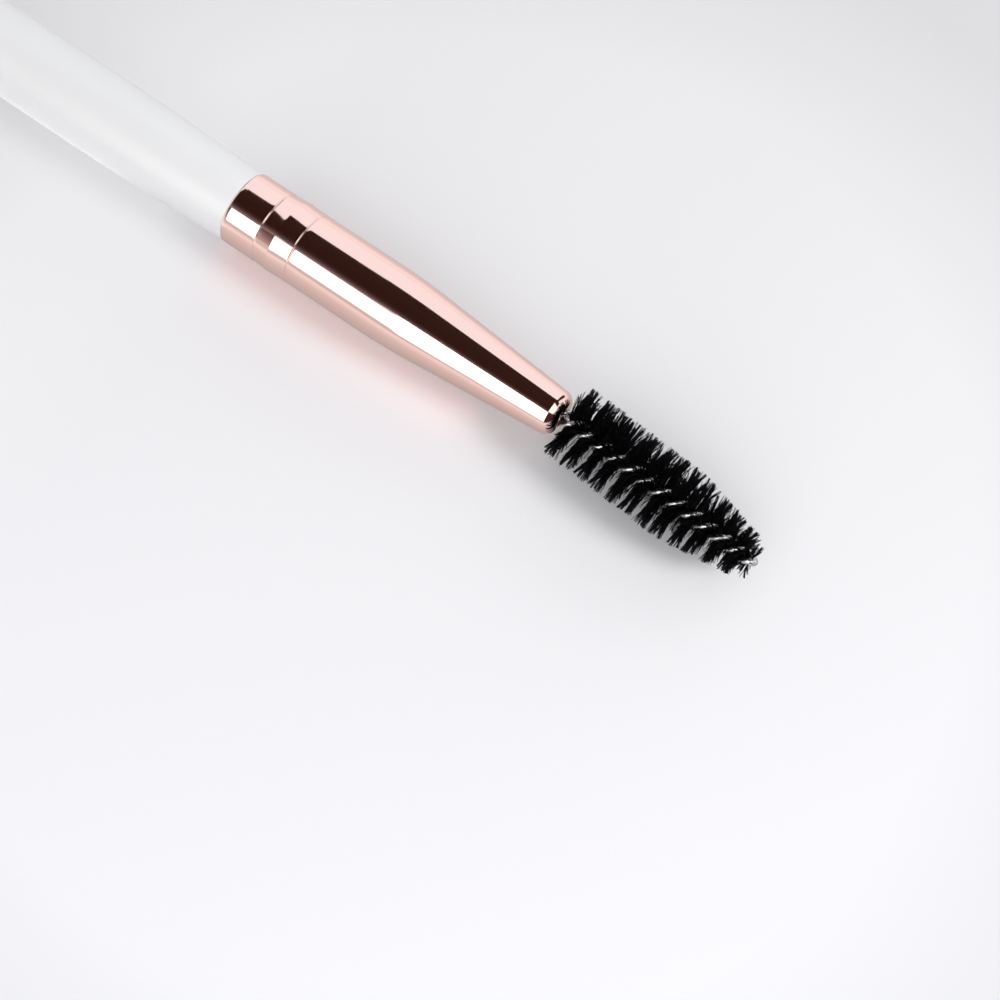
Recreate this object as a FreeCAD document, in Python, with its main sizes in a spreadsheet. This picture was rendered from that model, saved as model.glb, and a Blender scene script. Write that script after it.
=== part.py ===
"""An eyebrow brush: a twisted-wire bristle head in a spun metal ferrule on a turned handle.

Millimetres. The brush lies on its side on Z = 0, with X along it towards the bristles. Every piece is
drawn about its own axis with X = 0 at the ferrule's rim, or at the nose for the wire and the bristles.
"""

import FreeCAD, Part
import Sketcher
import math
import os
import re

Vector = FreeCAD.Vector

# Name, value in millimetres unless it is an angle or a count, and what it measures
SIZES = (
    ("handle_step", "0.23", "step from the tenon out to the handle's mouth"),
    ("belly_swell", "0.49", "how much the handle's radius grows from mouth to belly"),
    ("belly_setback", "20", "from the ferrule's rim back to the belly"),
    ("taper_length", "90", "from the belly back to the rounded tail"),
    ("tail_radius", "2.3", "handle radius where the tail's rounding starts"),
    ("tenon_setback", "4", "from the tenon's end to the start of the cone"),
    ("tenon_chamfer", "0.5", "lead-in on the tenon"),
    ("tenon_gap", "0.04", "glue line between the tenon and the ferrule"),
    ("seat_gap", "0.02", "gap between the handle's step and the ferrule's rim"),
    ("ferrule_radius", "3.92", "outside of the ferrule's barrel"),
    ("ferrule_wall", "0.3", "metal thickness"),
    ("rim_chamfer", "0.12", "broken outer edge of the rim"),
    ("rear_line", "3.93", "from the rim to the first turned line"),
    ("line_width", "0.16", "width of a turned line"),
    ("line_depth", "0.08", "depth of a turned line"),
    ("rise_length", "1.75", "from the first line up to the crest of the swage"),
    ("rise_depth", "0.05", "how far below the barrel the rise starts"),
    ("crest_height", "0.08", "how far the crest stands proud of the barrel"),
    ("fall_length", "2.24", "from the crest down to the second line"),
    ("cone_start", "19.9", "from the rim to the corner of barrel and cone"),
    ("shoulder_blend", "2.6", "half length of the soft shoulder at that corner"),
    ("nose_start", "37.8", "from the rim to the start of the rounded nose"),
    ("nose_radius", "2.45", "ferrule radius where the nose starts"),
    ("nose_round", "1.3", "radius of the nose's rounded corner"),
    ("nose_hole_gap", "0.1", "room round the wire in the nose's hole"),
    ("cast_gap", "0.03", "shrinkage gap round the cast glue"),
    ("strand_radius", "0.35", "radius of the wire"),
    ("strand_gap", "0.16", "gap between the twisted legs, where the filaments are gripped"),
    ("twist_pitch", "3.64", "length of one full turn of the wire"),
    ("twist_phase", "48", "turn of the whole head about its wire, degrees"),
    ("shank_length", "10", "wire inside the ferrule's nose"),
    ("lean_angle", "4.2", "how far the head sits askew to the right, degrees"),
    ("lean_offset", "0.2", "how far left of the brush's axis the wire leaves the nose"),
    ("bend_clearance", "0.1", "from the end of the filaments' web to the hairpin's bend"),
    ("head_setback", "0.12", "from the nose to the first filaments"),
    ("head_length", "23.4", "length of the bristle head"),
    ("head_radius", "3.95", "radius of the bristle head's barrel"),
    ("barrel_length", "14.45", "from the nose to the start of the head's taper"),
    ("head_tip_radius", "2.2", "radius of the bristle head at its tip"),
    ("root_gap", "0.05", "from the wire out to the root of a ridge"),
    ("root_thickness", "0.24", "thickness of a ridge of filaments beside the wire"),
    ("edge_thickness", "1.4", "thickness of a ridge of filaments at its trimmed edge"),
    ("web_thickness", "0.08", "thickness of the filaments between the wire's legs"),
    ("fringe_notch", "0.22", "depth of the notches along a ridge's trimmed edge"),
)
WIRE_SIDES = 8
WIRE_RINGS_PER_TURN = 9
BEND_RINGS = 6
HEAD_RINGS_PER_TURN = 20

# Lengths that follow from the sizes, as expressions in their names
BORE_RADIUS = "(ferrule_radius - ferrule_wall)"
TENON_RADIUS = f"({BORE_RADIUS} - tenon_gap)"
TENON_LENGTH = "(cone_start - tenon_setback)"
MOUTH_RADIUS = f"({TENON_RADIUS} + handle_step)"
BELLY_RADIUS = f"({MOUTH_RADIUS} + belly_swell)"
FRONT_RUN = "(belly_setback - seat_gap)"
FRONT_CURVE = f"(({FRONT_RUN} ^ 2 + belly_swell ^ 2) / (2 * belly_swell))"
TAPER_DROP = f"({BELLY_RADIUS} - tail_radius)"
TAPER_CURVE = f"((taper_length ^ 2 + {TAPER_DROP} ^ 2) / (2 * {TAPER_DROP}))"
TAIL_SLOPE = f"(taper_length / ({TAPER_CURVE} - {TAPER_DROP}))"
TAIL_CURVE = f"(tail_radius * sqrt(1 + {TAIL_SLOPE} ^ 2))"
HANDLE_LENGTH = f"(belly_setback + taper_length + {TAIL_CURVE} - tail_radius * {TAIL_SLOPE})"
CONE_SLOPE = "((ferrule_radius - nose_radius) / (nose_start - cone_start))"
CONE_STRETCH = f"sqrt(1 + {CONE_SLOPE} ^ 2)"
HALF_CONE_SLOPE = f"(({CONE_STRETCH} - 1) / {CONE_SLOPE})"
ROUND_CENTRE = f"(nose_start - nose_round * {CONE_SLOPE} / {CONE_STRETCH})"
ROUND_CENTRE_RADIUS = f"(nose_radius - nose_round / {CONE_STRETCH})"
CREST = "(rear_line + rise_length)"
FRONT_LINE = f"({CREST} + fall_length)"
LEG_RADIUS = "(strand_radius + strand_gap / 2)"
PAIR_RADIUS = f"({LEG_RADIUS} + strand_radius)"
HOLE_RADIUS = f"({PAIR_RADIUS} + lean_offset + nose_hole_gap)"
WEB_END = "(head_setback + head_length - edge_thickness / 2)"
WIRE_REACH = f"({WEB_END} + bend_clearance + 2 * strand_radius)"


def round_at_hole(inset):
    """Where the nose's rounding, or the same rounding inset by a wall, meets the hole."""
    rise = f"({HOLE_RADIUS} - {ROUND_CENTRE_RADIUS})"
    return f"({ROUND_CENTRE} + sqrt((nose_round - {inset}) ^ 2 - {rise} ^ 2))"


NOSE_END = round_at_hole("0")
OVERALL_LENGTH = f"({HANDLE_LENGTH} + {NOSE_END} + {WIRE_REACH} * cos(lean_angle))"
RIM_PLACE = f"({HANDLE_LENGTH} - {OVERALL_LENGTH} / 2)"
AXIS_HEIGHT = f"max({BELLY_RADIUS}; head_radius; ferrule_radius)"

doc = FreeCAD.newDocument("EyebrowBrush")
sheet = doc.addObject("Spreadsheet::Sheet", "Sizes")


def fill_sheet():
    for row, (name, value, meaning) in enumerate(SIZES, start=1):
        sheet.set(f"A{row}", name)
        sheet.set(f"B{row}", value)
        sheet.set(f"C{row}", meaning)
        sheet.setAlias(f"B{row}", name)
    doc.recompute()


def bound(expression):
    """The expression with each size's name pointing at its cell of the sheet."""
    names = "|".join(name for name, _, _ in SIZES)
    return re.sub(rf"\b({names})\b", r"Sizes.\1", expression)


def number(expression):
    result = sheet.evalExpression(bound(expression))
    return float(getattr(result, "Value", result))


# Sketches and the solids turned from them


def arc_between(start, end, radius, centre_on_left):
    """The shorter arc from start to end. A sketch's arc runs anticlockwise, so its ends may swap."""
    chord = end - start
    middle = (start + end) * 0.5
    rise = math.sqrt(max(radius**2 - (chord.Length / 2) ** 2, 0.0))
    left = Vector(-chord.y, chord.x, 0).normalize()
    centre = middle + left * (rise if centre_on_left else -rise)
    first, last = (start, end) if centre_on_left else (end, start)
    angles = [math.atan2(point.y - centre.y, point.x - centre.x) for point in (first, last)]
    circle = Part.Circle(centre, Vector(0, 0, 1), radius)
    return Part.ArcOfCircle(circle, angles[0], angles[1])


def pin(sketch, edge, end, coordinate, expression):
    """Holds one end of an edge at a place along X or at a radius."""
    if expression == "0":
        axis = -2 if coordinate == "X" else -1
        sketch.addConstraint(Sketcher.Constraint("PointOnObject", edge, end, axis))
        return
    distance = Sketcher.Constraint("Distance" + coordinate, -1, 1, edge, end, number(expression))
    index = sketch.addConstraint(distance)
    sketch.setExpression(f"Constraints[{index}]", bound(expression))


def draw_outline(sketch, corners, arcs=None):
    """A closed outline through (place along X, radius) corners.

    An entry of arcs, by the number of its first corner, holds the radius of the arc that leaves that
    corner and whether its centre is on the left of the way round.
    """
    arcs = arcs or {}
    points = [Vector(number(x), number(radius), 0) for x, radius in corners]
    ends = []
    for index, start in enumerate(points):
        end = points[(index + 1) % len(points)]
        if index in arcs:
            curve, centre_on_left = arcs[index]
            edge = sketch.addGeometry(arc_between(start, end, number(curve), centre_on_left), False)
            size = sketch.addConstraint(Sketcher.Constraint("Radius", edge, number(curve)))
            sketch.setExpression(f"Constraints[{size}]", bound(curve))
            ends.append((edge, 1, 2) if centre_on_left else (edge, 2, 1))
        else:
            edge = sketch.addGeometry(Part.LineSegment(start, end), False)
            ends.append((edge, 1, 2))
    for index, (edge, first, _) in enumerate(ends):
        before, _, last = ends[index - 1]
        sketch.addConstraint(Sketcher.Constraint("Coincident", before, last, edge, first))
        pin(sketch, edge, first, "X", corners[index][0])
        pin(sketch, edge, first, "Y", corners[index][1])


def new_sketch(body, name):
    plane = next(item for item in body.Origin.OriginFeatures if item.Role == "XZ_Plane")
    sketch = body.newObject("Sketcher::SketchObject", name)
    sketch.AttachmentSupport = [(plane, "")]
    sketch.MapMode = "FlatFace"
    return sketch


def turn(body, kind, name, sketch):
    """A Revolution or a Groove of the sketch about the brush's axis."""
    feature = body.newObject("PartDesign::" + kind, name)
    feature.Profile = sketch
    feature.ReferenceAxis = (sketch, ["H_Axis"])
    feature.Angle = 360
    body.Tip = feature
    return feature


def new_body(label):
    body = doc.addObject("PartDesign::Body", label)
    body.Label = label
    body.setExpression("Placement.Base.x", bound(RIM_PLACE))
    body.setExpression("Placement.Base.z", bound(AXIS_HEIGHT))
    return body


# The solids with flat facets, which carry the twist


def flat_face(points):
    return Part.Face(Part.makePolygon([*points, points[0]]))


def skin(rings, caps):
    """A closed solid through rings of as many points each, with the loops of caps over both ends."""
    faces = []
    for ring, following in zip(rings, rings[1:]):
        for index in range(len(ring)):
            after = (index + 1) % len(ring)
            faces.append(flat_face([ring[index], ring[after], following[after]]))
            faces.append(flat_face([ring[index], following[after], following[index]]))
    for ring in (rings[0], rings[-1]):
        for loop in caps:
            faces.append(flat_face([ring[index] for index in loop]))
    shell = Part.Shell(faces)
    shell.sewShape()
    solid = Part.Solid(shell)
    if solid.Volume < 0:
        solid.reverse()
    return solid


def twist_angle(place):
    """The left-handed turn of the head's wire at a place along it."""
    phase = math.radians(number("twist_phase"))
    return phase - 2 * math.pi * place / number("twist_pitch")


def head_placement():
    """The head's own axis leaves the nose a little left of the brush's axis, and leans to the right."""
    nose_place = number(RIM_PLACE) + number(NOSE_END)
    nose = Vector(nose_place, number("lean_offset"), number(AXIS_HEIGHT))
    return FreeCAD.Placement(nose, FreeCAD.Rotation(Vector(0, 0, -1), number("lean_angle")))


def add_solid(label, solid):
    feature = doc.addObject("Part::Feature", label)
    feature.Label = label
    feature.Shape = solid
    feature.Placement = head_placement()
    return feature


# Handle


def make_handle():
    body = new_body("handle")
    outline = new_sketch(body, "handle_outline")
    tail_place = "-(belly_setback + taper_length)"
    corners = [
        (TENON_LENGTH, "0"),
        (TENON_LENGTH, f"{TENON_RADIUS} - tenon_chamfer"),
        (f"{TENON_LENGTH} - tenon_chamfer", TENON_RADIUS),
        ("-seat_gap", TENON_RADIUS),
        ("-seat_gap", MOUTH_RADIUS),
        ("-belly_setback", BELLY_RADIUS),
        (tail_place, "tail_radius"),
        (f"-{HANDLE_LENGTH}", "0"),
    ]
    arcs = {4: (FRONT_CURVE, True), 5: (TAPER_CURVE, True), 6: (TAIL_CURVE, True)}
    draw_outline(outline, corners, arcs)
    turn(body, "Revolution", "turned_handle", outline)
    return body


# Ferrule


def inset_corner(inset):
    """The corner of barrel and cone, on a surface inset from the ferrule's outside."""
    return (f"cone_start - {inset} * {HALF_CONE_SLOPE}", f"ferrule_radius - {inset}")


def inset_nose_start(inset):
    """Where the cone meets the rounded nose, on a surface inset from the ferrule's outside."""
    place = f"nose_start - {inset} * {CONE_SLOPE} / {CONE_STRETCH}"
    return (place, f"nose_radius - {inset} / {CONE_STRETCH}")


def cut_above(sketch, corners):
    """A cutter that follows the corners and closes above the ferrule's surface."""
    clear_radius = "ferrule_radius + crest_height + line_depth"
    draw_outline(sketch, [*corners, (corners[-1][0], clear_radius), (corners[0][0], clear_radius)])


def make_ferrule():
    body = new_body("ferrule")
    outline = new_sketch(body, "wall_outline")
    barrel = "ferrule_radius"
    blend_end = f"cone_start + shoulder_blend / {CONE_STRETCH}"
    blend_drop = f"{barrel} - shoulder_blend * {CONE_SLOPE} / {CONE_STRETCH}"
    corners = [
        ("0", BORE_RADIUS),
        ("0", f"{barrel} - rim_chamfer"),
        ("rim_chamfer", barrel),
        ("rear_line", barrel),
        ("rear_line", f"{barrel} - rise_depth"),
        (CREST, f"{barrel} + crest_height"),
        (FRONT_LINE, barrel),
        ("cone_start - shoulder_blend", barrel),
        (blend_end, blend_drop),
        ("nose_start", "nose_radius"),
        (NOSE_END, HOLE_RADIUS),
        (round_at_hole("ferrule_wall"), HOLE_RADIUS),
        inset_nose_start("ferrule_wall"),
        inset_corner("ferrule_wall"),
    ]
    arcs = {
        7: (f"shoulder_blend / {HALF_CONE_SLOPE}", False),
        9: ("nose_round", False),
        11: ("nose_round - ferrule_wall", True),
    }
    draw_outline(outline, corners, arcs)
    turn(body, "Revolution", "spun_tube", outline)

    lines = new_sketch(body, "turned_line_cuts")
    for middle in ("rear_line", FRONT_LINE):
        sides = [f"{middle} - line_width / 2", f"{middle} + line_width / 2"]
        cut_above(lines, [(sides[0], barrel), (middle, f"{barrel} - line_depth"), (sides[1], barrel)])
    turn(body, "Groove", "turned_lines", lines)
    return body


# Glue plug


def make_glue_plug():
    inset = "(ferrule_wall + cast_gap)"
    body = new_body("glue_casting")
    outline = new_sketch(body, "casting_outline")
    back = f"{TENON_LENGTH} + cast_gap"
    front, front_radius = inset_nose_start(inset)
    corners = [
        (back, "0"),
        (back, f"ferrule_radius - {inset}"),
        inset_corner(inset),
        (front, front_radius),
        (front, "0"),
    ]
    draw_outline(outline, corners)
    turn(body, "Revolution", "cast_cone", outline)

    bore = doc.addObject("Part::Cylinder", "shank_bore")
    bore.setExpression("Radius", bound(f"{PAIR_RADIUS} + cast_gap"))
    bore.setExpression("Height", bound("shank_length + strand_radius + cast_gap"))
    along_wire = FreeCAD.Placement(Vector(), FreeCAD.Rotation(Vector(0, 1, 0), -90))
    bore.Placement = head_placement().multiply(along_wire)

    plug = doc.addObject("Part::Cut", "glue_plug")
    plug.Label = "glue_plug"
    plug.Base = body
    plug.Tool = bore
    return plug


# Twisted wire


def hairpin_stations():
    """Place along the wire, signed radius, and the outward direction in both, down the untwisted hairpin."""
    leg_radius = number(LEG_RADIUS)
    bend_place = number(f"{WIRE_REACH} - {PAIR_RADIUS}")
    shank = number("shank_length")
    count = round((bend_place + shank) / number("twist_pitch") * WIRE_RINGS_PER_TURN)
    places = [bend_place - (bend_place + shank) * step / count for step in range(count, 0, -1)]
    stations = [(place, leg_radius, 0, 1) for place in places]
    for step in range(BEND_RINGS + 1):
        angle = math.pi * step / BEND_RINGS
        along, across = math.sin(angle), math.cos(angle)
        stations.append((bend_place + leg_radius * along, leg_radius * across, along, across))
    stations += [(place, -leg_radius, 0, -1) for place in reversed(places)]
    return stations


def twisted(place, radius, turn_at):
    """A point, or a direction, at a place along the wire and at a signed radius in the turned plane."""
    angle = twist_angle(turn_at)
    return Vector(place, radius * math.cos(angle), radius * math.sin(angle))


def make_twisted_wire():
    stations = hairpin_stations()
    centres = [twisted(place, radius, place) for place, radius, _, _ in stations]
    outwards = [twisted(along, across, place) for place, _, along, across in stations]
    size = number("strand_radius")
    rings = []
    for index, (centre, outward) in enumerate(zip(centres, outwards)):
        before = centres[max(index - 1, 0)]
        after = centres[min(index + 1, len(centres) - 1)]
        along = (after - before).normalize()
        out = (outward - along * outward.dot(along)).normalize()
        side = along.cross(out)
        ring = []
        for corner in range(WIRE_SIDES):
            angle = 2 * math.pi * corner / WIRE_SIDES
            ring.append(centre + out * (size * math.cos(angle)) + side * (size * math.sin(angle)))
        rings.append(ring)
    return add_solid("twisted_wire", skin(rings, [tuple(range(WIRE_SIDES))]))


# Bristles


def head_outline(place):
    """The trimmed head's radius: a barrel, then a straight taper to the tip."""
    barrel_end = number("barrel_length")
    tip = number("head_setback + head_length")
    barrel, end = number("head_radius"), number("head_tip_radius")
    if place <= barrel_end:
        return barrel
    return barrel + (end - barrel) * (place - barrel_end) / (tip - barrel_end)


def make_bristles():
    """Two ridges that start on opposite sides of the wire, joined by the web between its legs."""
    half_edge = number("edge_thickness") / 2
    half_root = number("root_thickness") / 2
    half_web = number("web_thickness") / 2
    root = number(f"{PAIR_RADIUS} + root_gap")
    notch = number("fringe_notch")
    start, end = number("head_setback") + half_edge, number(WEB_END)
    count = round((end - start) / number("twist_pitch") * HEAD_RINGS_PER_TURN)
    quarter = math.pi / 2
    rings = []
    for step in range(count + 1):
        middle = start + (end - start) * step / count
        edge = head_outline(middle) - notch * (step % 2)
        ring = []
        for side in (quarter, -quarter):
            corners = [(0, half_web, side - quarter), (-half_root, root, side), (-half_edge, edge, side)]
            corners += [(half_edge, edge, side), (half_root, root, side)]
            for offset, radius, turned in corners:
                angle = twist_angle(middle) + turned
                point = Vector(middle + offset, radius * math.cos(angle), radius * math.sin(angle))
                ring.append(point)
        rings.append(ring)
    ridge_ends = [(1, 2, 3, 4), (6, 7, 8, 9)]
    web_end = [(0, 1, 4), (0, 4, 5), (0, 5, 6), (0, 6, 9)]
    return add_solid("bristles", skin(rings, ridge_ends + web_end))


def check_document():
    for item in doc.Objects:
        faults = {"Invalid", "Error"} & set(item.State)
        if faults:
            raise RuntimeError(f"{item.Label} is {sorted(faults)}")


def write_parts(parts):
    os.makedirs("parts", exist_ok=True)
    for part in parts:
        if part.Shape.isNull() or not part.Shape.isValid():
            raise RuntimeError(f"{part.Label} has no valid shape")
    for part in parts:
        part.Shape.exportStep(f"parts/{part.Label}.step")
        box = part.Shape.BoundBox
        size = f"{box.XLength:.2f} x {box.YLength:.2f} x {box.ZLength:.2f}"
        print(part.Label, size, "volume", round(part.Shape.Volume, 2))


fill_sheet()
parts = [make_handle(), make_ferrule(), make_glue_plug(), make_twisted_wire(), make_bristles()]
doc.recompute()
check_document()
write_parts(parts)
print("overall length", round(number(OVERALL_LENGTH), 2))
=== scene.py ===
"""Looks of an eyebrow brush: a lacquered handle, a rose-gold ferrule, a twisted wire and nylon bristles.

Lengths of the brush are in millimetres and turned into metres where the meshes are made. Along the brush,
places count from the ferrule's rim, and along the bristle head from the ferrule's nose. Distances in the
studio round it are in metres.
"""

import math

import bpy
import numpy as np
from mathutils import Matrix, Vector


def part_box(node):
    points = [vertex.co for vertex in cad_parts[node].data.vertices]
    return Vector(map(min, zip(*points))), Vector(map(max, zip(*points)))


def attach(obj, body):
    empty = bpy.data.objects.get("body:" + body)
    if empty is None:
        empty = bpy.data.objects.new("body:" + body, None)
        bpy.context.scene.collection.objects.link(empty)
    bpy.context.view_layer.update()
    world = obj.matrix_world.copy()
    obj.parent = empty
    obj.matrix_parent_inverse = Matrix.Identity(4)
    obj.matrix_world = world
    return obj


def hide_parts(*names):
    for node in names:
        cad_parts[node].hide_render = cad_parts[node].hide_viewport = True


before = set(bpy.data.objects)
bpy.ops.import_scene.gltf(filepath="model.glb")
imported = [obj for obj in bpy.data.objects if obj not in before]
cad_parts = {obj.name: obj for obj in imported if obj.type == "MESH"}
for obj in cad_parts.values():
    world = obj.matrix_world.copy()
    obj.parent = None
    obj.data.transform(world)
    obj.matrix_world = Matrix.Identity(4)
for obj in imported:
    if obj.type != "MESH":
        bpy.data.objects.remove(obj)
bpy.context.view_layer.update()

MM = 0.001

# Sizes of the handle
TENON_LENGTH = 15.9
TENON_ROUND = 0.4
TENON_GAP = 0.04
SEAT_GAP = 0.02
HANDLE_STEP = 0.23
MOUTH_ROUND = 0.06
BELLY_SWELL = 0.49
BELLY_SETBACK = 20
TAPER_LENGTH = 90
TAIL_RADIUS = 2.3
HANDLE_SIDES = 128

# Sizes of the ferrule
BARREL_RADIUS = 3.92
FERRULE_WALL = 0.3
BORE_ROUND = 0.05
RIM_ROUND = 0.1
LIP_LENGTH = 0.55
LIP_DEPTH = 0.01
LIP_ROUND = 0.3
REAR_LINE = 3.93
FRONT_LINE = 7.92
LINE_WIDTH = 0.16
LINE_DEPTH = 0.08
LINE_ROUNDS = (0.06, 0.04, 0.03)
RISE_DEPTH = 0.05
SWAGE_CURVE = 30
CREST = 5.68
CREST_HEIGHT = 0.08
CREST_TRIM = 0.004
CREST_WIDTH = 0.08
CREST_CURVE = 0.5
CONE_START = 19.9
SHOULDER_BLEND = 2.6
NOSE_START = 37.8
NOSE_RADIUS = 2.45
NOSE_ROUND = 1.3
NOSE_HOLE = 1.08
FERRULE_SIDES = 192

# Sizes of the wire and of the bristle head. Angles are in degrees
STRAND_RADIUS = 0.35
STRAND_GAP = 0.16
STRAND_SIDES = 20
TWIST_PITCH = 3.64
TWIST_PHASE = 48
SHANK_LENGTH = 10
BEND_SETBACK = 0.7
LEAN_ANGLE = 4.2
LEAN_OFFSET = 0.2
HEAD_START = 0.12
HEAD_LENGTH = 23.4
HEAD_RADIUS = 3.95
HEAD_BARREL = 14.45
HEAD_TIP_RADIUS = 2.2
EDGE_THICKNESS = 1.62
ROOTS_START = HEAD_START + 0.55
ROOTS_END = HEAD_START + HEAD_LENGTH - EDGE_THICKNESS / 2

# Filaments. A scatter is a standard deviation, and a pair of them is a clump's and a filament's own
FILAMENTS_PER_SIDE = 4400
FILAMENT_RADIUS = 0.036
FILAMENT_SIZES = (0.85, 1.1)  # shares of that radius
FILAMENT_TAPER = (1, 1, 1, 0.92, 0.6)  # shares of a filament's radius, from its root to its tip
ROOT_RADIUS = 0.12
ROOT_SCATTER = 0.02
CLUMP_SIZE = 6  # filaments
CLUMP_FAN = 0.9  # share of half the edge's thickness
OWN_FAN_SCATTER = 0.08  # share of half the edge's thickness
ROOT_FAN_SHARE = 0.27  # share of its tip's fan that a root has too
FAN_CURVE = 1.6  # power by which a filament fans from its root to its tip
WAVE_SPACING = 0.9
WAVE_SCATTER = 0.08
GATHERING = 0.7  # share of the twist inside a clump that its tips don't follow
SWAY_SCATTERS = (0.05, 0.012)  # radians
BOW_SCATTERS = (0.09, 0.03)
CUT_SCATTERS = (0.07, 0.06)
CUT_ALLOWANCE = 0.03
STRAY_SHARE = 0.14
STRAY_FAN_SCATTER = 0.5
STRAY_CURVE = 0.8
STRAY_LENGTHS = (0.35, 0.85)  # shares of the full length
SHORT_SHARE = 0.33
SHORT_LENGTHS = (0.5, 0.95)  # shares of the full length
LONG_SHARE = 0.02
LONG_EXTRAS = (0.05, 0.25)
REAR_END = 0.4
REAR_UNEVENNESS = 0.15
TIP_UNEVENNESS = 0.2

# Places and directions in the frame
ferrule_low, ferrule_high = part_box("ferrule")
RIM = Vector((ferrule_low.x, 0, (ferrule_low.z + ferrule_high.z) / 2))
NOSE = Vector((ferrule_high.x, 0, RIM.z))
HEAD_BASE = NOSE + Vector((0, LEAN_OFFSET * MM, 0))
HEAD_TURN = Matrix.Rotation(-math.radians(LEAN_ANGLE), 3, "Z")
TO_FRONT, TO_BACK, TO_TAIL = (0, -1, 0), (0, 1, 0), (-1, 0, 0)

# Camera: millimetres from the rim, degrees, and the lens in millimetres
CAMERA_FROM_RIM = (86.29, -76.69, 225.12)
CAMERA_AZIMUTH = 35.57
CAMERA_ELEVATION = 70.1
CAMERA_LENS = 90

# Floor, in the frame. Its colour fades up the view and a little to its right, which is painted light falloff,
# darkens in the picture's corners, which is painted shade, and glows by itself under the handle, which is
# painted light that lifts the handle's shadow. The metal sees a painted reflection of it: a few fades on a
# base level
FLOOR_SIZE = 4.0
FADE_DIRECTION = (-0.2725, 0.962, 0)
FADE_RANGE = (-0.074, 0.04)
CORNER_MIDDLE = (0.0585, -0.0125, 0)
CORNER_RANGE = (0.052, 0.074)
CORNER_SHADE_LEVEL = 0.88
# The paper's pale colour near and far; its fall up the view is painted light falloff
PAPER_AND_PAINTED_FALLOFF_COLOURS = ((0.865, 0.86, 0.885), (0.76, 0.76, 0.775))
# The floor's glow under the handle is painted light that lifts the handle's shadow there
PAINTED_LIGHT_COLOURS = ((0.925, 0.92, 0.94), (0.82, 0.815, 0.835))
PAINTED_LIGHT_SHARE = 0.55
PAINTED_LIGHT_RANGE = (-0.026, -0.016)
# The floor's painted reflection, which the metal sees: a painted shadow close to the brush at the base level
# that fades out in front of and behind it, and painted light beside the handle
PAINTED_REFLECTION_COLOUR = (1, 0.99, 1)
REFLECTED_SHADOW_LEVEL = 0.5
REFLECTED_SHADOW_FADES = (
    # direction, range, curve and gain
    (TO_FRONT, (0.005, 0.045), 0.5, 0.46),
    (TO_BACK, (0.005, 0.045), 0.5, 0.46),
    (TO_BACK, (0.01, 0.03), 1, 0.1),
)
REFLECTED_LIGHT_BESIDE_HANDLE = ((TO_TAIL, (-0.016, -0.008)), (TO_FRONT, (-0.002, 0.002)), (TO_BACK, (-0.045, -0.025)))

# Colours of the cards that reflections see. A level above 1 is brighter than white
BRIGHT, BRIGHTEST, TIP_BRIGHT = (1.04, 1.12, 1.2), (3, 3, 3), (1.6, 1.6, 1.6)
DARK, DARKEST = (0.06, 0.03, 0.025), (0.03, 0.012, 0.009)
CEILING_EDGE = (0.34, 0.3, 0.34)
GAP_TOP, GAP_BOTTOM = (0.11, 0.07, 0.07), (0.55, 0.42, 0.42)

# Places of the cards from the rim. The outlines of the cards overhead are (x, y) points
CEILING_HEIGHT = 0.6
CEILING_STEP = 0.01
CEILING_FRONT = ((-0.45, -0.486), (-0.27, -0.486), (-0.15, -0.41), (0.6, -0.41), (0.6, 0.66))
CEILING_BACK = ((-0.167, 0.676), (-0.2, 0.43), (-0.263, 0.41), (-0.308, 0.29), (-0.377, 0.143), (-0.45, 0.05))
CEILING_FADE = (0.16, 0.486)
CEILING_CURVE = 2.5
BACK_CEILING = (-0.8, 0.8, 0.05, 0.9)  # left, right, near and far
TIP_PATCH = ((0.1, -0.35), (0.6, -0.33), (1.1, -0.2), (1.1, -0.02), (0.6, 0.14), (0.1, 0.2))
END_CARDS = (("left_end", -0.85), ("right_end", 0.92))
END_PARTS = (("front", -0.9, -0.22), ("back", 0.2, 0.9))
END_HEIGHTS = (0.02, 0.6)
SIDE_DISTANCE = 0.7
SIDE_CURVE = 1.5
FRONT_SIDE, BACK_SIDE = -1, 1
SIDE_CARDS = (
    # name, side, elevations in degrees, X range, colour, and the colour it fades to towards the bottom
    ("back_softbox", BACK_SIDE, (1, 53), (-0.5, 0.12), BRIGHT, None),
    ("back_softbox_right", BACK_SIDE, (1, 53), (0.32, 0.9), BRIGHT, None),
    ("front_softbox", FRONT_SIDE, (11, 51), (-0.285, -0.1), BRIGHTEST, None),
    ("front_softbox_right", FRONT_SIDE, (7, 56), (-0.1, 0.12), BRIGHTEST, None),
    ("front_gap", FRONT_SIDE, (14, 51), (-0.6, -0.285), GAP_TOP, GAP_BOTTOM),
    ("front_end", FRONT_SIDE, (3, 56), (0.12, 0.9), DARK, None),
    ("back_gap", BACK_SIDE, (3, 53), (0.12, 0.32), DARK, None),
    ("back_end", BACK_SIDE, (1, 53), (-0.9, -0.5), DARK, None),
)

# Lamps: directions and places from the rim, sizes, and power in watts
LAMP_DISTANCE = 0.9
LAMPS = (
    ("front_lamp", (0.4, -0.78, 0.42), 1.2, 5.3),
    ("key_lamp", (0.8, 0.19, 0.57), 0.28, 4.7),
    ("back_lamp", (0.2, 0.94, 0.27), 0.8, 1.9),
)
BOUNCE_PLACE = (0.015, -0.0041, -0.0023)
BOUNCE_BACK = (0, 0.4, 0.7)
BOUNCE_SIZE = (0.032, 0.004)
BOUNCE_COLOUR = (1, 0.42, 0.34)
BOUNCE_POWER = 0.00013

# The range that most of a noise texture's values are in
NOISE_MIDDLE = (0.3, 0.7)

# World: the light it gives, and the levels that reflections and the camera see
WORLD_COLOUR = (0.985, 0.985, 1)
WORLD_STRENGTH = 0.5
REFLECTED_LEVEL = 0.68
BACKDROP_LEVEL = 0.93
BACKDROP_BLUE = 1.02


# Outlines, as (place, radius) points


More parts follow.
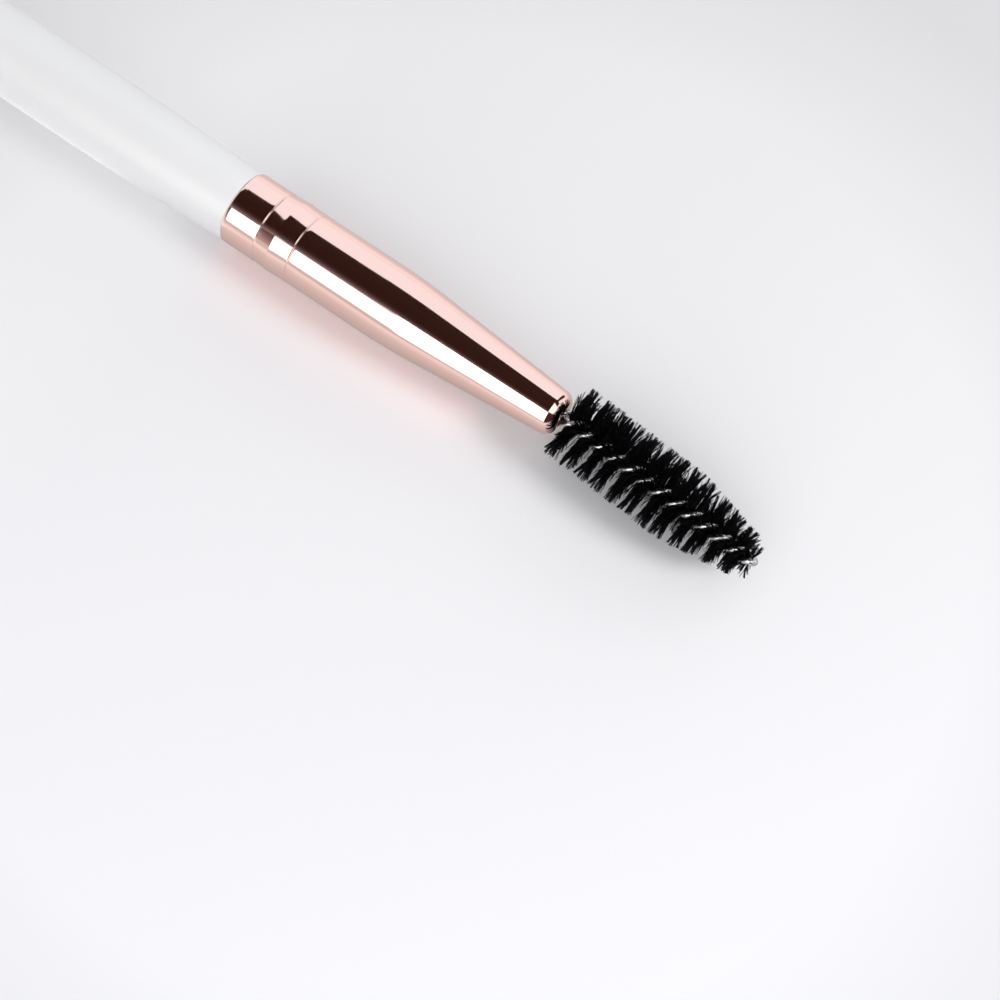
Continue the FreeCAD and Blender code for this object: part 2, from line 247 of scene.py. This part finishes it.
def arc(start, end, radius, centre_on_left, count):
    """Points after start, up to end, along the shorter arc between them."""
    (x0, y0), (x1, y1) = start, end
    chord = math.hypot(x1 - x0, y1 - y0)
    rise = math.sqrt(max(radius**2 - (chord / 2) ** 2, 0)) * (1 if centre_on_left else -1)
    cx = (x0 + x1) / 2 - (y1 - y0) / chord * rise
    cy = (y0 + y1) / 2 + (x1 - x0) / chord * rise
    first = math.atan2(y0 - cy, x0 - cx)
    sweep = (math.atan2(y1 - cy, x1 - cx) - first + math.pi) % (2 * math.pi) - math.pi
    angles = [first + sweep * step / count for step in range(1, count + 1)]
    return [(cx + radius * math.cos(angle), cy + radius * math.sin(angle)) for angle in angles]


def filleted(corners, steps=5):
    """The corners as (place, radius, fillet), with each fillet above zero drawn as an arc."""
    points = []
    for index, (x, y, fillet) in enumerate(corners):
        corner = Vector((x, y))
        if not fillet:
            points.append((x, y))
            continue
        back = (Vector(corners[index - 1][:2]) - corner).normalized()
        ahead = (Vector(corners[(index + 1) % len(corners)][:2]) - corner).normalized()
        half = back.angle(ahead) / 2
        reach = fillet / math.tan(half)
        start, end = corner + back * reach, corner + ahead * reach
        turns_left = back.x * ahead.y - back.y * ahead.x < 0
        points.append(tuple(start))
        points += arc(tuple(start), tuple(end), fillet, turns_left, steps)
    return points


def spaced(points, step, closed=False):
    """The outline with more points on its long straight stretches."""
    result = []
    ends = points[1:] + points[:1] if closed else points[1:]
    for (x0, y0), (x1, y1) in zip(points, ends):
        count = max(1, math.ceil(math.hypot(x1 - x0, y1 - y0) / step))
        result += [(x0 + (x1 - x0) * part / count, y0 + (y1 - y0) * part / count) for part in range(count)]
    return result if closed else result + [points[-1]]


# Meshes


def add_piece(name, points, faces, material, slot, *nodes):
    """A smooth piece of the object, in metres, that rides on the brush and stands for CAD nodes."""
    mesh = bpy.data.meshes.new(name)
    mesh.from_pydata([tuple(point) for point in points], [], faces)
    mesh.validate()
    mesh.shade_smooth()
    mesh.materials.append(material)
    piece = bpy.data.objects.new(name, mesh)
    bpy.context.scene.collection.objects.link(piece)
    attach(piece, "root")
    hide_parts(*nodes)


def turned(outline, sides, closed=False):
    """Points and faces of an outline turned about the brush's axis. Ends on the axis are single points."""
    points, rings, faces = [], [], []
    for x, radius in outline:
        count = sides if radius > 0 else 1
        rings.append(range(len(points), len(points) + count))
        for side in range(count):
            angle = 2 * math.pi * side / sides
            across = Vector((0, math.cos(angle), math.sin(angle)))
            points.append(RIM + (Vector((x, 0, 0)) + across * radius) * MM)
    pairs = list(zip(rings, rings[1:])) + ([(rings[-1], rings[0])] if closed else [])
    for ring, following in pairs:
        for side in range(sides):
            after = (side + 1) % sides
            corners = [ring[side % len(ring)], following[side % len(following)]]
            corners += [following[after % len(following)], ring[after % len(ring)]]
            faces.append(tuple(dict.fromkeys(corners)))
    return points, faces


def tubes(paths, outs, radii, sides):
    """Points and faces of closed round tubes.

    paths is (tube, ring, 3), outs has a direction across each ring, and radii is (tube, ring).
    """
    tube_count, ring_count, _ = paths.shape
    along = np.gradient(paths, axis=1)
    along /= np.linalg.norm(along, axis=2, keepdims=True)
    outs = outs - along * np.sum(outs * along, axis=2, keepdims=True)
    outs /= np.linalg.norm(outs, axis=2, keepdims=True)
    across = np.cross(along, outs)
    angles = 2 * np.pi * np.arange(sides) / sides
    spokes = outs[:, :, None] * np.cos(angles)[:, None] + across[:, :, None] * np.sin(angles)[:, None]
    points = paths[:, :, None] + spokes * radii[:, :, None, None]
    one = []
    for ring in range(ring_count - 1):
        for side in range(sides):
            after = (side + 1) % sides
            low, high = ring * sides, (ring + 1) * sides
            one.append((low + side, low + after, high + after, high + side))
    last = (ring_count - 1) * sides
    caps = [tuple(reversed(range(sides))), tuple(range(last, last + sides))]
    faces = []
    for tube in range(tube_count):
        shift = tube * ring_count * sides
        faces += [tuple(corner + shift for corner in face) for face in one + caps]
    return points.reshape(-1, 3), faces


# Shader nodes


def new_material(name):
    """A material with its nodes, its links and its shader."""
    material = bpy.data.materials.new(name)
    material.use_nodes = True
    nodes = material.node_tree.nodes
    return material, nodes, material.node_tree.links, nodes["Principled BSDF"]


def calculated(nodes, links, operation, first, second):
    """The result of a Math node. Each value is a number or the output of another node."""
    node = nodes.new("ShaderNodeMath")
    node.operation = operation
    for socket, value in zip(node.inputs, (first, second)):
        if isinstance(value, (int, float)):
            socket.default_value = value
        else:
            links.new(value, socket)
    return node.outputs["Value"]


def ranged(nodes, links, value, before, after=(0, 1)):
    """A value moved from one range into another, and kept inside it."""
    spread = nodes.new("ShaderNodeMapRange")
    spread.inputs["From Min"].default_value, spread.inputs["From Max"].default_value = before
    spread.inputs["To Min"].default_value, spread.inputs["To Max"].default_value = after
    links.new(value, spread.inputs["Value"])
    return spread.outputs["Result"]


def measured(nodes, links, operation, vector):
    """A number from the place in the object's own space and a vector."""
    measure = nodes.new("ShaderNodeVectorMath")
    measure.operation = operation
    measure.inputs[1].default_value = vector
    links.new(nodes.new("ShaderNodeTexCoord").outputs["Object"], measure.inputs[0])
    return measure.outputs["Value"]


def along_direction(nodes, links, direction, limits, curve=1.0):
    """From 0 to 1 between two distances along a direction, raised to a power."""
    distance = measured(nodes, links, "DOT_PRODUCT", direction)
    return calculated(nodes, links, "POWER", ranged(nodes, links, distance, limits), curve)


def from_middle(nodes, links, middle, limits):
    """From 0 to 1 between two distances from a point."""
    return ranged(nodes, links, measured(nodes, links, "DISTANCE", middle), limits)


def noise(nodes, links, scale, detail=2.0, stretch=(1, 1, 1)):
    """A noise texture in the object's own space, with features about 1/scale mm long, stretched by axis."""
    mapping = nodes.new("ShaderNodeMapping")
    mapping.inputs["Scale"].default_value = [scale / MM / factor for factor in stretch]
    texture = nodes.new("ShaderNodeTexNoise")
    texture.inputs["Scale"].default_value = 1
    texture.inputs["Detail"].default_value = detail
    links.new(nodes.new("ShaderNodeTexCoord").outputs["Object"], mapping.inputs["Vector"])
    links.new(mapping.outputs["Vector"], texture.inputs["Vector"])
    return texture.outputs["Fac"]


def mixed_colour(nodes, links, share, first, second):
    """From the first colour to the second."""
    mix = nodes.new("ShaderNodeMix")
    mix.data_type = "RGBA"
    mix.inputs["A"].default_value = (*first, 1)
    mix.inputs["B"].default_value = (*second, 1)
    links.new(share, mix.inputs["Factor"])
    return mix.outputs["Result"]


def mixed_shader(nodes, links, share, first, second):
    """From the first shader to the second."""
    mix = nodes.new("ShaderNodeMixShader")
    links.new(share, mix.inputs["Fac"])
    links.new(first, mix.inputs[1])
    links.new(second, mix.inputs[2])
    return mix.outputs["Shader"]


def only_for(nodes, links, *rays):
    """1 for the kinds of ray named, else 0."""
    path = nodes.new("ShaderNodeLightPath")
    total = path.outputs[rays[0]]
    for name in rays[1:]:
        total = calculated(nodes, links, "MAXIMUM", total, path.outputs[name])
    return total


# Materials of the brush


def coloured(nodes, links, shader, share, first, second):
    """Gives the shader a colour between two."""
    links.new(mixed_colour(nodes, links, share, first, second), shader.inputs["Base Color"])


def roughened(nodes, links, shader, texture, low, high):
    """Gives the shader a roughness between two, from the middle of a noise's range."""
    links.new(ranged(nodes, links, texture, NOISE_MIDDLE, (low, high)), shader.inputs["Roughness"])


def bumped(nodes, links, shader, texture, distance):
    """Gives the shader a relief of a distance in millimetres."""
    bump = nodes.new("ShaderNodeBump")
    bump.inputs["Distance"].default_value = distance * MM
    links.new(texture, bump.inputs["Height"])
    links.new(bump.outputs["Normal"], shader.inputs["Normal"])


def lacquer_material():
    material, nodes, links, shader = new_material("white_lacquer")
    cloud = noise(nodes, links, 0.12, detail=3)
    coloured(nodes, links, shader, cloud, (0.77, 0.77, 0.775), (0.795, 0.795, 0.8))
    shader.inputs["Roughness"].default_value = 0.45
    shader.inputs["Specular IOR Level"].default_value = 0.35
    shader.inputs["Coat Weight"].default_value = 0.25
    shader.inputs["Coat Roughness"].default_value = 0.17
    bumped(nodes, links, shader, noise(nodes, links, 0.9), 0.004)
    return material


def rose_metal_material():
    """Polished metal, tinted, with faint streaks from the spinning."""
    material, nodes, links, shader = new_material("rose_metal")
    tint = noise(nodes, links, 0.25, stretch=(6, 1, 1))
    coloured(nodes, links, shader, tint, (0.95, 0.66, 0.59), (0.93, 0.63, 0.56))
    shader.inputs["Metallic"].default_value = 1
    roughened(nodes, links, shader, noise(nodes, links, 4, detail=3, stretch=(0.25, 1, 1)), 0.06, 0.1)
    bumped(nodes, links, shader, noise(nodes, links, 1.2, detail=3, stretch=(3, 1, 1)), 0.0012)
    return material


def steel_material():
    material, nodes, links, shader = new_material("steel_wire")
    coloured(nodes, links, shader, noise(nodes, links, 2), (0.74, 0.74, 0.74), (0.66, 0.66, 0.67))
    shader.inputs["Metallic"].default_value = 1
    roughened(nodes, links, shader, noise(nodes, links, 6, detail=3), 0.16, 0.3)
    bumped(nodes, links, shader, noise(nodes, links, 5), 0.004)
    return material


def nylon_material():
    material, nodes, links, shader = new_material("black_nylon")
    coloured(nodes, links, shader, noise(nodes, links, 1.5), (0.002, 0.002, 0.0025), (0.004, 0.004, 0.005))
    roughened(nodes, links, shader, noise(nodes, links, 3), 0.35, 0.5)
    shader.inputs["Specular IOR Level"].default_value = 0.05
    return material


def glue_material():
    material, nodes, links, shader = new_material("clear_glue")
    coloured(nodes, links, shader, noise(nodes, links, 1), (0.75, 0.66, 0.45), (0.7, 0.6, 0.38))
    shader.inputs["Roughness"].default_value = 0.15
    return material


# Handle


def make_handle(material):
    """A tenon, a swell from the mouth to the belly, and a long taper to a rounded tail."""
    tenon = BARREL_RADIUS - FERRULE_WALL - TENON_GAP
    mouth = tenon + HANDLE_STEP
    belly = mouth + BELLY_SWELL
    front_curve = (BELLY_SETBACK**2 + BELLY_SWELL**2) / (2 * BELLY_SWELL)
    drop = belly - TAIL_RADIUS
    taper_curve = (TAPER_LENGTH**2 + drop**2) / (2 * drop)
    tail_slope = TAPER_LENGTH / (taper_curve - drop)
    tail_curve = TAIL_RADIUS * math.sqrt(1 + tail_slope**2)
    tail_place = -BELLY_SETBACK - TAPER_LENGTH
    tail_end = tail_place - tail_curve + TAIL_RADIUS * tail_slope
    belly_point, tail_point = (-BELLY_SETBACK, belly), (tail_place, TAIL_RADIUS)
    corners = [(TENON_LENGTH, 0, 0), (TENON_LENGTH, tenon, TENON_ROUND), (-SEAT_GAP, tenon, 0)]
    corners += [(-SEAT_GAP, mouth, MOUTH_ROUND), (*belly_point, 0)]
    outline = spaced(filleted(corners)[:-1], step=1)
    outline += arc(outline[-1], belly_point, front_curve, centre_on_left=True, count=40)
    outline += arc(belly_point, tail_point, taper_curve, centre_on_left=True, count=100)
    outline += arc(tail_point, (tail_end, 0), tail_curve, centre_on_left=True, count=24)
    outline[-1] = (tail_end, 0)
    points, faces = turned(outline, HANDLE_SIDES)
    add_piece("handle_shell", points, faces, material, "white_lacquer", "handle")


# Ferrule


def turned_line(place, radius_before, radius_after):
    """A fine groove with soft edges. The first and last corners only lead into it and out of it."""
    before, after = place - LINE_WIDTH / 2, place + LINE_WIDTH / 2
    rear_round, floor_round, front_round = LINE_ROUNDS
    corners = [(before - 1, radius_before, 0), (before, radius_before, rear_round)]
    corners += [(place, radius_before - LINE_DEPTH, floor_round), (after, radius_after, front_round)]
    corners += [(after + 1, radius_after, 0)]
    return filleted(corners, steps=3)[1:-1]


def swage():
    """Both lines, with metal between them that starts pressed in, rises to a crest and falls again."""
    outline = turned_line(REAR_LINE, BARREL_RADIUS, BARREL_RADIUS - RISE_DEPTH)
    crest_radius = BARREL_RADIUS + CREST_HEIGHT - CREST_TRIM
    rise_end, fall_start = CREST - CREST_WIDTH / 2, CREST + CREST_WIDTH / 2
    fall_end = (FRONT_LINE - LINE_WIDTH, BARREL_RADIUS)
    outline += arc(outline[-1], (rise_end, crest_radius), SWAGE_CURVE, centre_on_left=True, count=10)
    outline += arc(outline[-1], (fall_start, crest_radius), CREST_CURVE, centre_on_left=False, count=4)
    outline += arc(outline[-1], fall_end, SWAGE_CURVE, centre_on_left=True, count=12)
    return outline + turned_line(FRONT_LINE, BARREL_RADIUS, BARREL_RADIUS)


def make_ferrule(material):
    """A thin tube: the rim, the swage between two lines, a soft shoulder, the cone and the rounded nose."""
    barrel = BARREL_RADIUS
    bore = barrel - FERRULE_WALL
    slope = (barrel - NOSE_RADIUS) / (NOSE_START - CONE_START)
    stretch = math.sqrt(1 + slope**2)
    half_slope = (stretch - 1) / slope
    corners = [(NOSE_START, bore, 0), (0, bore, BORE_ROUND), (0, barrel - LIP_DEPTH, RIM_ROUND)]
    corners += [(LIP_LENGTH, barrel, LIP_ROUND), (REAR_LINE, barrel, 0)]
    outline = filleted(corners)[1:-1] + swage()
    blend_start = (CONE_START - SHOULDER_BLEND, barrel)
    blend_end = (CONE_START + SHOULDER_BLEND / stretch, barrel - SHOULDER_BLEND * slope / stretch)
    outline.append(blend_start)
    outline += arc(blend_start, blend_end, SHOULDER_BLEND / half_slope, centre_on_left=False, count=20)
    nose_start, nose_end = (NOSE_START, NOSE_RADIUS), ((NOSE.x - RIM.x) / MM, NOSE_HOLE)
    outline.append(nose_start)
    outline += arc(nose_start, nose_end, NOSE_ROUND, centre_on_left=False, count=20)
    inner_nose = (NOSE_START - FERRULE_WALL * slope / stretch, NOSE_RADIUS - FERRULE_WALL / stretch)
    inner_hole = (nose_end[0] - FERRULE_WALL, NOSE_HOLE)
    outline.append(inner_hole)
    outline += arc(inner_hole, inner_nose, NOSE_ROUND - FERRULE_WALL, centre_on_left=True, count=8)
    outline.append((CONE_START - FERRULE_WALL * half_slope, bore))
    points, faces = turned(spaced(outline, step=0.4, closed=True), FERRULE_SIDES, closed=True)
    add_piece("ferrule_shell", points, faces, material, "rose_metal", "ferrule")


# Twisted wire


def twist_angle(places):
    """The left-handed turn of the wire's legs at places along the head."""
    return math.radians(TWIST_PHASE) - 2 * np.pi * places / TWIST_PITCH


def around(angles):
    """Directions across the head's axis, before the head leans."""
    return np.stack([np.zeros_like(angles), np.cos(angles), np.sin(angles)], axis=-1)


def in_frame(points):
    """From millimetres in the head's own axes to metres in the frame."""
    return points @ np.array(HEAD_TURN).T * MM + np.array(HEAD_BASE)


def make_wire(material):
    """A hairpin whose two legs are twisted together, with its bend at the tip."""
    leg = STRAND_RADIUS + STRAND_GAP / 2
    bend = HEAD_START + HEAD_LENGTH - BEND_SETBACK
    leg_steps, bend_steps = 220, 16
    places = np.linspace(-SHANK_LENGTH, bend, leg_steps)
    half_turn = np.linspace(0, np.pi, bend_steps + 1)[1:-1]
    along = np.concatenate([places, bend + leg * np.sin(half_turn), places[::-1]])
    across = np.concatenate([np.full(leg_steps, leg), leg * np.cos(half_turn), np.full(leg_steps, -leg)])
    angles = twist_angle(np.minimum(along, bend))
    path = around(angles) * across[:, None]
    path[:, 0] = along
    outs = around(angles) * (across / leg)[:, None]
    outs[:, 0] = np.concatenate([np.zeros(leg_steps), np.sin(half_turn), np.zeros(leg_steps)])
    radii = np.full((1, len(along)), STRAND_RADIUS)
    points, faces = tubes(path[None], outs[None], radii, STRAND_SIDES)
    add_piece("twisted_wire_strands", in_frame(points), faces, material, "steel_wire", "twisted_wire")


# Bristles


def head_outline(places):
    """The radius that the head is trimmed to, at places along it."""
    taper = (places - HEAD_BARREL) / (HEAD_START + HEAD_LENGTH - HEAD_BARREL)
    return HEAD_RADIUS - (HEAD_RADIUS - HEAD_TIP_RADIUS) * np.clip(taper, 0, 1)


def two_scatters(dice, clump, clump_scatter, own_scatter):
    """Random offsets that a clump's filaments share, and random offsets of the filaments' own."""
    shared = dice.normal(0, clump_scatter, clump[-1] + 1)[clump]
    return shared, dice.normal(0, own_scatter, len(clump))


def rooted(dice, count):
    """Where each filament leaves the wire, and the number of the clump that it is in."""
    places = np.linspace(ROOTS_START, ROOTS_END, count) + dice.normal(0, ROOT_SCATTER, count)
    return places, np.cumsum(dice.random(count) < 1 / CLUMP_SIZE)


def clump_middles(places, clump):
    """The mean root of each filament's clump."""
    return (np.bincount(clump, places) / np.maximum(np.bincount(clump), 1))[clump]


def fanned(dice, places, clump):
    """How far along the head each tip stands from its root. Clumps fan, and the edge waves a little."""
    clump_fan = dice.uniform(-1, 1, clump[-1] + 1)[clump]
    knots = np.arange(ROOTS_START, ROOTS_END + 1, WAVE_SPACING)
    wave = np.interp(places, knots, dice.normal(0, WAVE_SCATTER, len(knots)))
    own_fan = dice.normal(0, OWN_FAN_SCATTER, len(places))
    return EDGE_THICKNESS / 2 * (CLUMP_FAN * clump_fan + own_fan) + wave


def kept_on_head(dice, tips):
    """The tips moved in from beyond the head's two uneven ends."""
    first = HEAD_START + REAR_END + REAR_UNEVENNESS * dice.random(len(tips))
    last = HEAD_START + HEAD_LENGTH - TIP_UNEVENNESS * dice.random(len(tips))
    return np.clip(tips, first, last)


def trimmed(dice, tips, clump, stray):
    """How far each tip stands from the wire's axis: cut to the outline, with some shorter or longer."""
    count = len(tips)
    clump_cut, own_cut = two_scatters(dice, clump, *CUT_SCATTERS)
    reach = head_outline(tips) - (np.abs(clump_cut) + np.abs(own_cut) - CUT_ALLOWANCE)
    reach *= np.where(dice.random(count) < SHORT_SHARE, dice.uniform(*SHORT_LENGTHS, count), 1)
    reach *= np.where(stray, dice.uniform(*STRAY_LENGTHS, count), 1)
    return reach + (dice.random(count) < LONG_SHARE) * dice.uniform(*LONG_EXTRAS, count)


def make_bristles(name, side, seed, material):
    """One spiral of nylon filaments, which stand out on one side of the wire and turn with it."""
    dice = np.random.default_rng(seed)
    count = FILAMENTS_PER_SIDE
    places, clump = rooted(dice, count)
    fan = fanned(dice, places, clump)
    gather = (twist_angle(clump_middles(places, clump)) - twist_angle(places)) * GATHERING
    clump_sway, own_sway = two_scatters(dice, clump, *SWAY_SCATTERS)
    sway = gather + clump_sway + own_sway
    stray = dice.random(count) < STRAY_SHARE
    fan += stray * dice.normal(0, STRAY_FAN_SCATTER, count)
    tips = kept_on_head(dice, places + fan)
    reach = trimmed(dice, tips, clump, stray)
    bow = sum(two_scatters(dice, clump, *BOW_SCATTERS))
    parts = np.linspace(0, 1, len(FILAMENT_TAPER))
    radii_along = ROOT_RADIUS + (reach - ROOT_RADIUS)[:, None] * parts
    angles = (twist_angle(places) + side * np.pi / 2)[:, None] + sway[:, None] * parts
    paths = around(angles) * radii_along[:, :, None]
    curves = np.where(stray, STRAY_CURVE, FAN_CURVE)[:, None]
    shares = ROOT_FAN_SHARE + (1 - ROOT_FAN_SHARE) * parts**curves
    bowed = bow[:, None] * np.sin(np.pi * parts)
    paths[:, :, 0] = places[:, None] + (tips - places)[:, None] * shares + bowed
    outs = np.zeros_like(paths)
    outs[:, :, 0] = 1
    thickness = FILAMENT_RADIUS * dice.uniform(*FILAMENT_SIZES, count)[:, None] * np.array(FILAMENT_TAPER)
    points, faces = tubes(paths, outs, thickness, sides=4)
    add_piece(name, in_frame(points), faces, material, "black_nylon", "bristles")


# Glue


def colour_glue(material):
    """The CAD solid stays, with a material of its own."""
    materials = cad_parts["glue_plug"].data.materials
    materials.clear()
    materials.append(material)


# Floor and cards


def add_stage(name, corners, material):
    """A flat sheet of the studio, which isn't part of the object."""
    mesh = bpy.data.meshes.new(name)
    mesh.from_pydata([tuple(corner) for corner in corners], [], [tuple(range(len(corners)))])
    mesh.materials.append(material)
    sheet = bpy.data.objects.new(name, mesh)
    bpy.context.scene.collection.objects.link(sheet)
    return sheet


def flat(left, right, near, far, height):
    """The corners of a level rectangle."""
    return [(left, near, height), (right, near, height), (right, far, height), (left, far, height)]


def painted_falloff(nodes, links, fall, corner, near, far):
    """Painted light falloff: a colour that falls from near to far, with painted shade that darkens it in the
    picture's corners.
    """
    darker = [[value * CORNER_SHADE_LEVEL for value in colour] for colour in (near, far)]
    mix = nodes.new("ShaderNodeMix")
    mix.data_type = "RGBA"
    links.new(corner, mix.inputs["Factor"])
    links.new(mixed_colour(nodes, links, fall, near, far), mix.inputs["A"])
    links.new(mixed_colour(nodes, links, fall, *darker), mix.inputs["B"])
    return mix.outputs["Result"]


def painted_floor_reflection(nodes, links):
    """A painted reflection of the floor for the metal: painted shadow close to the brush, brighter behind it,
    and painted light beside the handle.
    """
    level = REFLECTED_SHADOW_LEVEL
    for direction, limits, curve, gain in REFLECTED_SHADOW_FADES:
        fade = along_direction(nodes, links, direction, limits, curve)
        level = calculated(nodes, links, "ADD", level, calculated(nodes, links, "MULTIPLY", fade, gain))
    painted_light_beside_handle = 1.0
    for direction, limits in REFLECTED_LIGHT_BESIDE_HANDLE:
        fade = along_direction(nodes, links, direction, limits)
        painted_light_beside_handle = calculated(nodes, links, "MULTIPLY", painted_light_beside_handle, fade)
    level = calculated(nodes, links, "ADD", level, painted_light_beside_handle)
    glow = nodes.new("ShaderNodeEmission")
    glow.inputs["Color"].default_value = (*PAINTED_REFLECTION_COLOUR, 1)
    links.new(level, glow.inputs["Strength"])
    return glow.outputs["Emission"]


def make_floor():
    """Pale paper that keeps the brush's shadow, with painted light falloff and painted shade in the corners.
    It glows under the handle, painted light over the handle's shadow, and has a painted mirror image of its
    own.
    """
    material, nodes, links, shader = new_material("floor_paper")
    shader.inputs["Roughness"].default_value = 0.6
    shader.inputs["Specular IOR Level"].default_value = 0.05
    # Painted light falloff up the view, and painted shade in the picture's corners
    fall = along_direction(nodes, links, FADE_DIRECTION, FADE_RANGE)
    corner = from_middle(nodes, links, CORNER_MIDDLE, CORNER_RANGE)
    links.new(painted_falloff(nodes, links, fall, corner, *PAPER_AND_PAINTED_FALLOFF_COLOURS), shader.inputs["Base Color"])
    # Painted light: for the camera the floor glows under the handle, which lifts the handle's shadow
    glow = nodes.new("ShaderNodeEmission")
    links.new(painted_falloff(nodes, links, fall, corner, *PAINTED_LIGHT_COLOURS), glow.inputs["Color"])
    painted_light_under_handle = along_direction(nodes, links, TO_TAIL, PAINTED_LIGHT_RANGE)
    weight = ranged(nodes, links, painted_light_under_handle, (0, 1), (0, PAINTED_LIGHT_SHARE))
    seen = only_for(nodes, links, "Is Camera Ray", "Is Transmission Ray")
    share = calculated(nodes, links, "MULTIPLY", seen, weight)
    surface = mixed_shader(nodes, links, share, shader.outputs["BSDF"], glow.outputs["Emission"])
    # Reflections see a painted image of the floor, with painted shadow and painted light in it
    mirrored = only_for(nodes, links, "Is Glossy Ray")
    surface = mixed_shader(nodes, links, mirrored, surface, painted_floor_reflection(nodes, links))
    links.new(surface, nodes["Material Output"].inputs["Surface"])
    half = FLOOR_SIZE / 2
    add_stage("floor", flat(-half, half, -half, half, 0), material)


def make_card(name, corners, colour, far_colour=None, limits=(0, 1), curve=1.0):
    """A sheet that only reflections see. Its colour can fade into another one towards -Y."""
    material, nodes, links, _ = new_material(name)
    glow = nodes.new("ShaderNodeEmission")
    glow.inputs["Color"].default_value = (*colour, 1)
    if far_colour:
        fall = along_direction(nodes, links, TO_FRONT, limits, curve)
        links.new(mixed_colour(nodes, links, fall, colour, far_colour), glow.inputs["Color"])
    links.new(glow.outputs["Emission"], nodes["Material Output"].inputs["Surface"])
    card = add_stage(name, [RIM + Vector(corner) for corner in corners], material)
    card.visible_camera = False
    card.visible_diffuse = False
    card.visible_shadow = False
    card.visible_transmission = False


def make_side_card(name, side, elevations, x_range, colour, low_colour):
    """A card at the front or at the back, between two elevations."""
    edges = []
    for elevation in elevations:
        angle = math.radians(elevation)
        edges.append((side * SIDE_DISTANCE * math.cos(angle), SIDE_DISTANCE * math.sin(angle)))
    (y0, z0), (y1, z1) = edges
    left, right = x_range
    corners = [(left, y0, z0), (right, y0, z0), (right, y1, z1), (left, y1, z1)]
    make_card(name, corners, colour, low_colour, (abs(y1), abs(y0)), SIDE_CURVE)


def make_ceiling():
    """A dark card over the brush, which gets paler towards its front edge, and a bright one above it."""
    corners = [(x, y, CEILING_HEIGHT) for x, y in CEILING_FRONT + CEILING_BACK]
    make_card("dark_ceiling", corners, DARKEST, CEILING_EDGE, CEILING_FADE, CEILING_CURVE)
    make_card("back_ceiling", flat(*BACK_CEILING, CEILING_HEIGHT + CEILING_STEP), BRIGHT)


def make_end_cards():
    """Dark cards beyond the tail and beyond the tip, each in two parts."""
    low, high = END_HEIGHTS
    for name, x in END_CARDS:
        for part, near, far in END_PARTS:
            corners = [(x, near, low), (x, far, low), (x, far, high), (x, near, high)]
            make_card(f"{name}_{part}", corners, DARK)


def make_tip_card():
    """A bright patch under the dark ceiling, over the bristle head and beyond its tip."""
    corners = [(x, y, CEILING_HEIGHT - 2 * CEILING_STEP) for x, y in TIP_PATCH]
    make_card("tip_light", corners, TIP_BRIGHT)


# Light and camera


def place_lamp(light, place, back):
    """A lamp whose back turns to a direction, and which reflections don't see."""
    lamp = bpy.data.objects.new(light.name, light)
    lamp.location = RIM + place
    lamp.rotation_euler = back.to_track_quat("Z", "Y").to_euler()
    lamp.visible_glossy = False
    bpy.context.scene.collection.objects.link(lamp)
    return lamp


def make_lamp(name, towards, size, power):
    """A large soft lamp."""
    light = bpy.data.lights.new(name, "AREA")
    light.size = size
    light.energy = power
    away = Vector(towards).normalized()
    place_lamp(light, away * LAMP_DISTANCE, away)


def make_bounce():
    """The tinted light that the ferrule throws on the floor in front of it."""
    light = bpy.data.lights.new("bounce", "AREA")
    light.shape = "RECTANGLE"
    light.size, light.size_y = BOUNCE_SIZE
    light.color = BOUNCE_COLOUR
    light.energy = BOUNCE_POWER
    lamp = place_lamp(light, Vector(BOUNCE_PLACE), Vector(BOUNCE_BACK))
    lamp.visible_camera = False


def make_world():
    """Even light from all round, with levels of their own for reflections and for the camera."""
    world = bpy.data.worlds.new("studio")
    bpy.context.scene.world = world
    world.use_nodes = True
    nodes, links = world.node_tree.nodes, world.node_tree.links
    light = nodes["Background"]
    light.inputs["Color"].default_value = (*WORLD_COLOUR, 1)
    light.inputs["Strength"].default_value = WORLD_STRENGTH
    surface = light.outputs["Background"]
    seen = ((REFLECTED_LEVEL, "Is Glossy Ray"), (BACKDROP_LEVEL, "Is Camera Ray", "Is Transmission Ray"))
    for level, *rays in seen:
        backdrop = nodes.new("ShaderNodeBackground")
        backdrop.inputs["Color"].default_value = (level, level, level * BACKDROP_BLUE, 1)
        share = only_for(nodes, links, *rays)
        surface = mixed_shader(nodes, links, share, surface, backdrop.outputs["Background"])
    links.new(surface, nodes["World Output"].inputs["Surface"])


def make_camera():
    lens = bpy.data.cameras.new("camera")
    lens.lens = CAMERA_LENS
    camera = bpy.data.objects.new("camera", lens)
    azimuth, elevation = math.radians(CAMERA_AZIMUTH), math.radians(CAMERA_ELEVATION)
    level = math.cos(elevation)
    back = Vector((math.sin(azimuth) * level, -math.cos(azimuth) * level, math.sin(elevation)))
    camera.location = RIM + Vector(CAMERA_FROM_RIM) * MM
    camera.rotation_euler = back.to_track_quat("Z", "Y").to_euler()
    bpy.context.scene.collection.objects.link(camera)
    bpy.context.scene.camera = camera


make_camera()
nylon = nylon_material()
make_handle(lacquer_material())
make_ferrule(rose_metal_material())
make_wire(steel_material())
make_bristles("bristle_spiral_a", side=1, seed=11, material=nylon)
make_bristles("bristle_spiral_b", side=-1, seed=12, material=nylon)
colour_glue(glue_material())

make_floor()
make_ceiling()
for card in SIDE_CARDS:
    make_side_card(*card)
make_end_cards()
make_tip_card()
for lamp in LAMPS:
    make_lamp(*lamp)
make_bounce()
make_world()
bpy.context.scene.view_settings.view_transform = "Standard"
